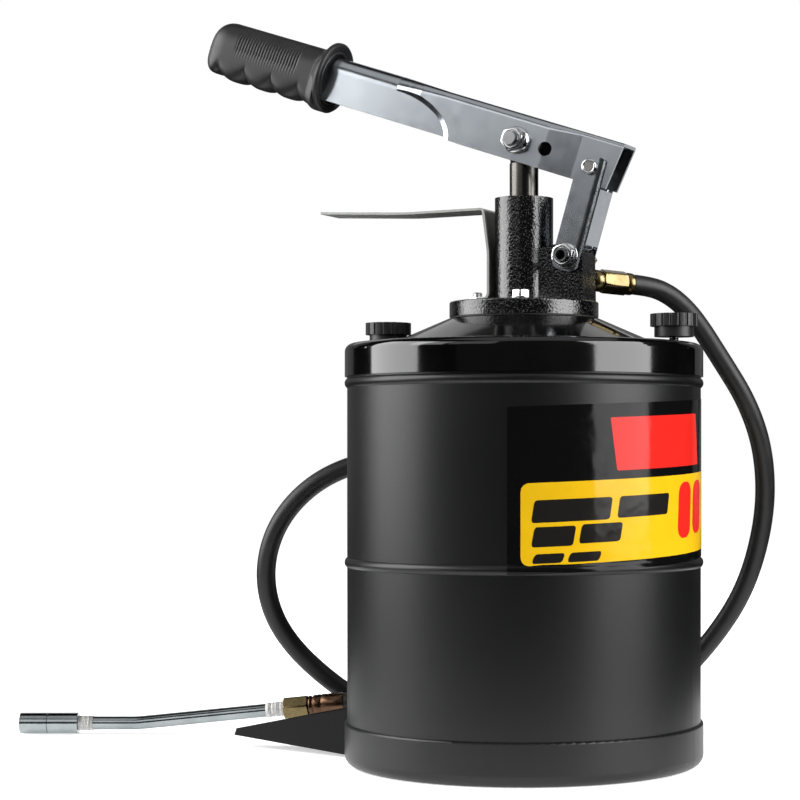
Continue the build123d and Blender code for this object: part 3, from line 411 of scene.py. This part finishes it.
def round_ring(radius, along, count):
    """Circle of points in metres, from a radius and a height in millimetres."""
    return [(radius * cos(2 * pi * j / count) * MM, radius * sin(2 * pi * j / count) * MM, along * MM)
            for j in range(count)]


def lathe(name, profile, matrix, segments=48):
    """Turned piece from (along, radius) in millimetres on the matrix's Z; radius 0 closes an end."""
    rings = [round_ring(max(radius, 0.001), along, segments) for along, radius in profile]
    return place(skin(name, rings), matrix)


def hex_ring(flats, turn):
    """Points round a hexagon, as (x, y) in the unit of flats."""
    points = []
    for j in range(6 * PER_SIDE):
        angle = 2 * pi * j / (6 * PER_SIDE)
        local = (angle + turn) % (pi / 3) - pi / 6
        radius = flats / 2 / cos(local)
        points.append((radius * cos(angle), radius * sin(angle)))
    return points


def hex_prism(name, flats, start, end, matrix, bore=0.0, turn=0.0, start_turned=True):
    """Hexagon with its corners turned down to a cone at its ends, with an open bore if one is given."""
    corner = flats / 2 / cos(pi / 6)
    narrow = flats / 2 * 0.985
    drop = (corner - flats / 2) * tan(radians(30))
    levels = []
    for i in range(CONE_STEPS + 1):
        limit = narrow + (corner - flats / 2) * i / CONE_STEPS
        levels.append((start + drop * i / CONE_STEPS, limit if start_turned else corner))
    for i in range(CONE_STEPS + 1):
        levels.append((end - drop * (1 - i / CONE_STEPS), corner - (corner - narrow) * i / CONE_STEPS))
    rings = []
    for along, limit in levels:
        ring = []
        for x, y in hex_ring(flats, turn):
            factor = min(1.0, limit / sqrt(x * x + y * y))
            ring.append((x * factor * MM, y * factor * MM, along * MM))
        rings.append(ring)
    if bore > 0:
        count = 6 * PER_SIDE
        first = round_ring(bore, start + 0.5, count)
        wide = round_ring(bore * 1.12, start, count)
        wide_last = round_ring(bore * 1.12, end, count)
        last = round_ring(bore, end - 0.5, count)
        rings = [first, wide] + rings + [wide_last, last, first]
    return place(skin(name, rings, caps=bore == 0), matrix)


def thread_profile(start, end, radius, pitch):
    """Profile of a threaded length as fine rings, with a chamfered tip."""
    root = radius - 0.45 * pitch
    profile = []
    along = start
    while along < end - pitch:
        profile += [(along, root), (along + pitch * 0.42, radius), (along + pitch * 0.58, radius)]
        along += pitch
    profile += [(end - pitch * 0.6, radius - 0.1), (end, root - 0.4), (end, 0)]
    return profile


def smooth(value, low, high):
    """0 below low, 1 above high, and a smooth rise between."""
    t = min(1.0, max(0.0, (value - low) / (high - low)))
    return t * t * (3 - 2 * t)


# ---------------------------------------------------------------- lever grip
LEVER_TILT = radians(18.4)
ROD_PIVOT_Z = 0.3862
ROD_PIVOT = Vector((0, 0, ROD_PIVOT_Z))
LEVER_ALONG = Vector((-cos(LEVER_TILT), 0, sin(LEVER_TILT)))
LEVER_UP = Vector((sin(LEVER_TILT), 0, cos(LEVER_TILT)))


def on_lever(u, side, up):
    """Point from the lever's own frame, in millimetres, to the row frame."""
    return ROD_PIVOT + (LEVER_ALONG * u + Vector((0, side, 0)) + LEVER_UP * up) * MM


# the grip, in millimetres along the lever from the rod pivot
GRIP_FROM = 145.0
GRIP_TO = 232.6
GRIP_HALF = 14.5
GRIP_ROUND = 15.0
LOBE_PITCH = 20.3
LOBE_FROM = 158.0
RIB_FROM = 163.0
RIB_TO = 209.5
RIB_PITCH = 2.12
STEP_UP = 1.5
RIB_DEPTH = 0.55
EDGE_DEPTH = 0.45
RING_POINTS = 72


def grip_ring(u):
    """One section of the grip: ribbed above the step line, finger lobes below."""
    past = max(0.0, (u - GRIP_TO + GRIP_ROUND) / GRIP_ROUND)
    ending = sqrt(max(0.0, 1 - past ** 2.3))
    swell = 1 + 0.12 * smooth(-u, -GRIP_FROM - 6, -GRIP_FROM)
    top = (21.4 - 0.4 * (u - GRIP_FROM) / 90 - STEP_UP) * ending ** 0.8 * swell
    lobe = abs(sin(pi * (u - LOBE_FROM) / LOBE_PITCH)) ** 0.7
    low = (12.2 + STEP_UP + 4.6 * lobe) * ending ** 0.7 * swell
    half = GRIP_HALF * ending ** 0.75 * swell
    rib = 0.0
    if RIB_FROM < u < RIB_TO:
        rib = RIB_DEPTH * (0.5 + 0.5 * cos(2 * pi * (u - RIB_FROM) / RIB_PITCH)) ** 2
    ring = []
    for j in range(RING_POINTS):
        angle = 2 * pi * j / RING_POINTS
        c, s = cos(angle), sin(angle)
        side = half * (1 if c >= 0 else -1)
        if s >= 0:
            edge = EDGE_DEPTH * smooth(s, 0.02, 0.10)
            shrink = 1 - (rib + edge) / GRIP_HALF * (1 if s > 0.06 else 0)
            across = side * abs(c) ** 0.78 * shrink
            height = top * s ** 0.86 * shrink
        else:
            across = side * abs(c) ** 0.5 * (1 - 0.07 * (1 - lobe) * smooth(-s, 0.1, 0.7))
            height = -low * abs(s) ** 0.5
        ring.append(tuple(on_lever(u, across, STEP_UP + height)))
    return ring


def make_grip():
    """The ribbed grip, its guard and the rim of its socket, which ride on the lever."""
    stops = [GRIP_FROM]
    u = GRIP_FROM
    while u < GRIP_TO - GRIP_ROUND:
        u += RIB_PITCH / 5 if RIB_FROM - 1 < u < RIB_TO + 1 else 0.8
        stops.append(u)
    for i in range(1, 14):
        stops.append(GRIP_TO - GRIP_ROUND + GRIP_ROUND * sin(pi / 2 * i / 14))
    stops.append(GRIP_TO - 0.02)
    grip = skin("grip", [grip_ring(stop) for stop in stops])
    guard_axis = axes_to(on_lever(0, 0, 4.3), LEVER_ALONG)
    guard = lathe("guard", [(141.6, 15.5), (141.0, 18.0), (139.8, 20.6), (139.9, 22.2), (141.0, 23.0),
                            (142.8, 22.9), (143.8, 21.8), (144.4, 19.8), (145.4, 18.0), (147.5, 16.2),
                            (150, 14.6)], guard_axis, 72)
    socket = lathe("socket_rim", [(142.0, 15.9), (140.8, 15.7), (140.2, 16.2), (140.4, 17.0), (141.4, 18.0)],
                   guard_axis)
    for part in (grip, guard, socket):
        dress(part, "grip")
        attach(part, "lever")
    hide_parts("lever_grip")


make_grip()


# ---------------------------------------------------------------- fasteners
def wear(piece, look, body, node=None):
    """Material, body and slot of a detailed piece, and the CAD node that it stands for."""
    dress(piece, look)
    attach(piece, body)
    if node:
        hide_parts(node)
    return piece


# hexagon across flats, nut bore, thread root and crest radii, and pitch, in millimetres
M8_FLATS, M8_BORE, M8_ROOT, M8_CREST, M8_PITCH = 13, 4.05, 3.5, 3.98, 1.25
M6_FLATS, M6_BORE, M6_CREST, M6_PITCH = 10, 3.05, 2.98, 1.0
FRONT = (0, -1, 0)
UP = (0, 0, 1)
ALONG_X = (1, 0, 0)
nut_axis = axes_to((0, -0.01285, ROD_PIVOT_Z), FRONT)
wear(lathe("rod_nut_flange", [(0, 4.1), (0, 8.4), (0.5, 8.6), (1.1, 8.4), (2.6, 6.9), (2.6, 4.1)], nut_axis),
     "zinc", "lever")
wear(hex_prism("rod_nut", M8_FLATS, 1.4, 8.6, nut_axis, M8_BORE, turn=radians(20), start_turned=False),
     "zinc", "lever", "rod_pivot_nut")
rod_bolt_tip = [(-3, M8_ROOT)] + thread_profile(-2.5, 12.4, M8_CREST, M8_PITCH)
wear(lathe("rod_bolt_tip", rod_bolt_tip, nut_axis), "zinc", "lever")

LUG_X, LUG_Z = 0.0338, 0.3134
lug_axis = axes_to((LUG_X, -0.0151, LUG_Z), FRONT)
wear(lathe("lug_washer", [(0.0, 4.2), (0.0, 7.6), (0.3, 7.8), (1.0, 7.8), (1.2, 7.5), (1.2, 4.2)], lug_axis),
     "zinc", "lid_unit")
wear(hex_prism("lug_nut_hex", M8_FLATS, 1.2, 7.6, lug_axis, M8_BORE, turn=radians(8)),
     "zinc", "lid_unit", "lug_nut")
lug_bolt_tip = [(-3, M8_ROOT)] + thread_profile(-2.5, 10.0, M8_CREST, M8_PITCH)
wear(lathe("lug_bolt_tip", lug_bolt_tip, lug_axis), "zinc", "lid_unit")

LINK_LONG = 0.056
LINK_LEAN = radians(16.2)
pin_axis = axes_to((LUG_X + LINK_LONG * sin(LINK_LEAN), -0.0148, LUG_Z + LINK_LONG * cos(LINK_LEAN)), FRONT)
pin_collar = [(0.05, 3.1), (0.05, 4.6), (0.5, 4.75), (2.7, 4.7), (3.2, 4.3), (3.3, 3.7), (3.0, 3.2),
              (1.8, 2.6), (1.5, 1.6), (2.0, 1.2), (2.1, 0)]
wear(lathe("pin_collar", pin_collar, pin_axis), "zinc", "link_unit", "link_pin_collar")

BOLT_CIRCLE = 0.035
FLANGE_TOP = 0.2867


def on_flange(angle):
    """Upright axis on the flange's top at its bolt circle, by angle in degrees."""
    spot = (BOLT_CIRCLE * cos(radians(angle)), BOLT_CIRCLE * sin(radians(angle)), FLANGE_TOP)
    return axes_to(spot, UP, ALONG_X)


washer_profile = [(0.1, 3.2), (0.1, 6.4), (0.4, 6.6), (1.2, 6.6), (1.4, 6.3), (1.4, 3.2)]
for number, (angle, turn) in enumerate(((-71, 15), (49, 35))):
    axis = on_flange(angle)
    wear(lathe("flange_washer_%d" % number, washer_profile, axis), "zinc", "lid_unit")
    head = hex_prism("flange_head_%d" % number, M6_FLATS, 1.4, 5.4, axis, turn=radians(turn),
                     start_turned=False)
    wear(head, "zinc", "lid_unit", "flange_bolts")

strap_axis = on_flange(169)
wear(hex_prism("strap_nut_hex", M6_FLATS, 1.6, 4.6, strap_axis, M6_BORE, turn=radians(12)),
     "zinc", "lid_unit", "strap_nut")
strap_stud_tip = [(-0.5, 2.6)] + thread_profile(0, 7.4, M6_CREST, M6_PITCH)
wear(lathe("strap_stud_tip", strap_stud_tip, strap_axis), "zinc", "lid_unit", "strap_stud")

stud_profile = [(-23.2, 2.3)] + thread_profile(-22.8, 5.0, M6_CREST, M6_PITCH)
for side, x, low in (("left", -0.0936, 0.2619), ("right", 0.0982, 0.2633)):
    stud = lathe("stud_thread_" + side, stud_profile, axes_to((x, 0, low), UP, ALONG_X))
    wear(stud, "steel", "knob_%s_unit" % side, "stud_" + side)

# ---------------------------------------------------------------- outlet and nozzle fittings
BRASS_FLATS = 14
ADAPTOR_BORE = 3.2
NOZZLE_BORE = 4.6
TUBE_R = 4.52
PIPE_PITCH = 1.4
outlet_axis = axes_to(outlet(0), OUTLET_DIR)
pipe_thread = [(28.5, ADAPTOR_BORE), (28.5, 5.9)]
for i in range(13):
    turn_from = 29 + i * PIPE_PITCH
    pipe_thread += [(turn_from, 5.3), (turn_from + 0.6, 6.2), (turn_from + 0.9, 6.2)]
pipe_thread += [(48, 5.4), (48, ADAPTOR_BORE)]
wear(lathe("adaptor_thread", pipe_thread, outlet_axis), "brass", "lid_unit")
wear(hex_prism("adaptor_hex", BRASS_FLATS, 53.8, 70.7, outlet_axis, ADAPTOR_BORE, turn=radians(10)),
     "brass", "lid_unit", "outlet_adaptor")
collar = [(47.6, ADAPTOR_BORE), (47.6, 6.2), (48.2, 6.9), (53.3, 6.9), (53.9, 6.4), (53.9, ADAPTOR_BORE)]
wear(lathe("adaptor_collar", collar, outlet_axis), "brass", "lid_unit")
rim = [(70.8, ADAPTOR_BORE), (70.8, 6.7), (71.1, 7.05), (74.9, 7.05), (75.8, 6.7), (HOSE_EXIT, 6.2)]
wear(lathe("ferrule_rim", rim, outlet_axis), "brass", "lid_unit", "outlet_ferrule")

rear_axis = axes_to(HOSE_TAIL, REAR_DIR)
crimp = [(0.0, 6.2), (0.0, 6.8), (0.6, 7.2), (14.6, 7.2), (15.0, 6.95), (15.6, 6.95), (16.0, 7.2),
         (20.2, 7.2), (20.8, 6.9), (21.2, 6.1), (22.1, 6.1), (22.4, 6.9), (23.8, 6.9), (24.2, 6.1),
         (24.8, 6.1), (24.8, NOZZLE_BORE)]
wear(lathe("nozzle_ferrule_crimp", crimp, rear_axis), "copper", "lid_unit", "nozzle_ferrule")
wear(hex_prism("nozzle_nut_hex", BRASS_FLATS, 24.9, 41.4, rear_axis, NOZZLE_BORE, turn=radians(22)),
     "brass", "lid_unit", "nozzle_nut")


def wound(name, low, high, matrix):
    """Turns of thin tape on the nozzle tube, each edge a little proud of the turn before."""
    profile = [(low, TUBE_R)]
    along = low
    turn = 0
    while along < high - 1.3:
        proud = 0.42 + 0.14 * sin(turn * 2.3) + 0.05 * sin(turn * 5.1)
        profile += [(along + 0.05, TUBE_R + proud - 0.16), (along + 0.9, TUBE_R + proud),
                    (along + 1.05, TUBE_R + 0.2)]
        along += 1.1 + 0.2 * sin(turn * 1.7)
        turn += 1
    return lathe(name, profile + [(high, TUBE_R + 0.3), (high, TUBE_R)], matrix)


wear(wound("tape_turns_rear", 41.5, 54.0, rear_axis), "tape", "lid_unit", "thread_tape_rear")
front_axis = axes_to(COUPLER_TIP, -FRONT_DIR)
wear(wound("tape_turns_front", 39.6, 49.6, front_axis), "tape", "lid_unit", "thread_tape_front")

# ---------------------------------------------------------------- panel label
# the label in millimetres, on a wall whose lowest bead runs under it
WALL_R = 110.0
LABEL_FROM = radians(-73)
LABEL_TO = radians(50)
LABEL_LOW = 122.5
LABEL_RISE = 0.0402
LABEL_TALL = 96.7
LABEL_LONG = WALL_R * (LABEL_TO - LABEL_FROM)
BEAD_Z = 125.2
BEAD_MIDDLE = 108.0
BEAD_ROUND = 3.6
BASE_LIFT, PANEL_LIFT, BAR_LIFT = 0.22, 0.30, 0.38  # off the wall, each layer over the last
PANEL_EDGE = 7.6
BAR_SLANT = 2.0


def on_wall(along, up, lift):
    """Point on the wall, along the label from its left end and up from its lower edge, in millimetres."""
    angle = LABEL_FROM + along / WALL_R
    z = LABEL_LOW + LABEL_RISE * along + up
    radius = WALL_R
    if abs(z - BEAD_Z) < BEAD_ROUND:
        radius = max(radius, BEAD_MIDDLE + sqrt(BEAD_ROUND ** 2 - (z - BEAD_Z) ** 2))
    radius += lift
    return (radius * cos(angle) * MM, radius * sin(angle) * MM, z * MM)


def patch(name, start, end, low, high, lift, look, corner=3.0, slant=0.0, rows=40):
    """Rounded rectangle on the wall; slant leans its ends, in millimetres over its height."""
    corner = min(corner, (high - low) / 2, (end - start) / 2)
    columns = []
    along = start
    while along < end:
        columns.append(along)
        along += 0.5 if along < start + corner or along > end - corner else 1.6
    columns.append(end)
    verts = []
    for along in columns:
        reach = max(start + corner - along, along - end + corner, 0.0)
        inset = corner - sqrt(max(0.0, corner ** 2 - reach ** 2))
        for row in range(rows + 1):
            up = low + inset + (high - low - 2 * inset) * row / rows
            verts.append(on_wall(along + slant * (up - low) / (high - low), up, lift))
    size = rows + 1
    faces = [(i * size + j, (i + 1) * size + j, (i + 1) * size + j + 1, i * size + j + 1)
             for i in range(len(columns) - 1) for j in range(rows)]
    return wear(mesh_object(name, verts, faces), look, "bucket")


base = patch("label_base", 0, LABEL_LONG, 0, LABEL_TALL, BASE_LIFT, "label_black", 0.5, rows=90)
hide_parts("panel_label")
patch("label_panel", PANEL_EDGE, LABEL_LONG - PANEL_EDGE, 4.9, 52.5, PANEL_LIFT, "label_yellow", 5, rows=60)
patch("label_band_red", 66, 150, 57.5, 88.5, PANEL_LIFT, "label_red", 0.6, -4.5)
# look, corner, start, end, low and high of each bar
BARS = [("label_dark", 1.8, 13.6, 61.0, 29.5, 42.5), ("label_dark", 1.8, 66.0, 106.0, 30.0, 42.5),
        ("label_dark", 1.8, 13.6, 38.0, 15.5, 27.0), ("label_dark", 1.8, 41.5, 68.0, 16.5, 27.5),
        ("label_dark", 1.8, 13.8, 31.5, 6.0, 11.5), ("label_dark", 1.8, 34.5, 54.0, 6.0, 11.5),
        ("label_red", 7, 117.0, 134.0, 14.5, 48.0), ("label_red", 7, 138.0, 156.0, 16.0, 48.0)]
for number, (look, corner, start, end, low, high) in enumerate(BARS):
    patch("label_bar_%d" % number, start, end, low, high, BAR_LIFT, look, corner, BAR_SLANT, 8)

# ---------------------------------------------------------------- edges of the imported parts
# each node and the width of its rounded edges in millimetres
for name, width in (("lever_channel", 0.6), ("link", 0.5), ("hook_strap", 0.35), ("piston_rod", 0.4),
                    ("pump_head", 0.9), ("foot_pedal", 0.8), ("knob_left", 0.5), ("knob_right", 0.5),
                    ("coupler_body", 0.5), ("coupler_cap", 0.5), ("seal_ring", 0.4)):
    bevelled(nodes[name], width * MM)


# ---------------------------------------------------------------- floor, light
def stage_paint(name, albedo, glow):
    """Matt stage paint with a little light of its own."""
    material, shader = new_material(name, Roughness=0.85, Specular_IOR_Level=0.1)
    shader.inputs["Base Color"].default_value = (albedo, albedo, albedo, 1)
    shader.inputs["Emission Color"].default_value = (1, 1, 1, 1)
    shader.inputs["Emission Strength"].default_value = glow
    return material


def studio(across, away, up):
    """Point from the camera's own directions, in metres from the bucket's axis, to the row frame."""
    turn = radians(CAMERA_TURN)
    return (cos(turn) * across - sin(turn) * away, sin(turn) * across + cos(turn) * away, up)


def stage_plane(name, edges, paint, lights_object):
    """Flat floor from left, right, front and back edges, which lights and shows in the object if asked."""
    left, right, front, back = edges
    plane = mesh_object(name, [studio(left, front, 0), studio(right, front, 0), studio(right, back, 0),
                               studio(left, back, 0)], [(0, 1, 2, 3)])
    plane.data.materials.append(paint)
    plane.visible_glossy = lights_object
    plane.visible_diffuse = lights_object


LEFT, RIGHT, NEAR, BACK = -0.45, 0.30, -0.34, 0.34
FAR = 6
FLOOR_ALBEDO = 0.93
stage_plane("floor_near", (LEFT, RIGHT, NEAR, BACK), stage_paint("floor_paint", FLOOR_ALBEDO, 0.55), True)
far_paint = stage_paint("far_floor_paint", FLOOR_ALBEDO, 1.0)
far_paint.cycles.emission_sampling = "NONE"
for name, edges in (("floor_left", (-FAR, LEFT, -FAR, FAR)), ("floor_right", (RIGHT, FAR, -FAR, FAR)),
                    ("floor_front", (LEFT, RIGHT, -FAR, NEAR)), ("floor_back", (LEFT, RIGHT, BACK, FAR))):
    stage_plane(name, edges, far_paint, False)

world = bpy.data.worlds.new("studio")
bpy.context.scene.world = world
world.use_nodes = True
world.node_tree.nodes["Background"].inputs["Color"].default_value = (1, 1, 1, 1)
world.node_tree.nodes["Background"].inputs["Strength"].default_value = 1.0
world.cycles_visibility.glossy = False
world.cycles_visibility.diffuse = False
world.cycles.sampling_method = "NONE"
bpy.context.scene.view_settings.view_transform = "Standard"

AIM_Z = 0.22


def softbox(name, azimuth, distance, height, width, tall, power):
    """Upright soft panel, its azimuth measured from the camera's own direction, positive to the right."""
    bearing = radians(CAMERA_TURN - 90 + azimuth)
    light = bpy.data.lights.new(name, "AREA")
    light.shape = "RECTANGLE"
    light.size = width
    light.size_y = tall
    light.energy = power
    lamp = bpy.data.objects.new(name, light)
    lamp.location = (distance * cos(bearing), distance * sin(bearing), height)
    lamp.rotation_euler = (Vector((0, 0, AIM_Z)) - lamp.location).to_track_quat("-Z", "Y").to_euler()
    bpy.context.collection.objects.link(lamp)
    return lamp


softbox("key_left", -89, 1.6, 0.8, 1.35, 1.5, 40)
softbox("key_right", 64, 1.6, 0.8, 1.32, 1.5, 46)
softbox("high_left", -63, 1.6, 1.0, 0.75, 0.8, 6.5)
softbox("high_front", -33, 1.6, 1.0, 0.9, 0.8, 2.6)
softbox("top", 20, 0.5, 2.0, 2.4, 2.0, 10)
softbox("back", 180, 1.9, 1.35, 2.4, 0.9, 3.6)
softbox("fill_back", 180, 2.6, 1.0, 5.0, 2.0, 5)
softbox("fill_front", 0, 2.6, 1.0, 5.0, 2.0, 1.6)
# a low card behind, which lights only the lever and its link
link_card = softbox("link_card", 139, 1.5, 0.10, 0.8, 0.4, 0.8)
plated = bpy.data.collections.new("plated")
for name in ("link", "lever_channel"):
    plated.objects.link(nodes[name])
link_card.light_linking.receiver_collection = plated
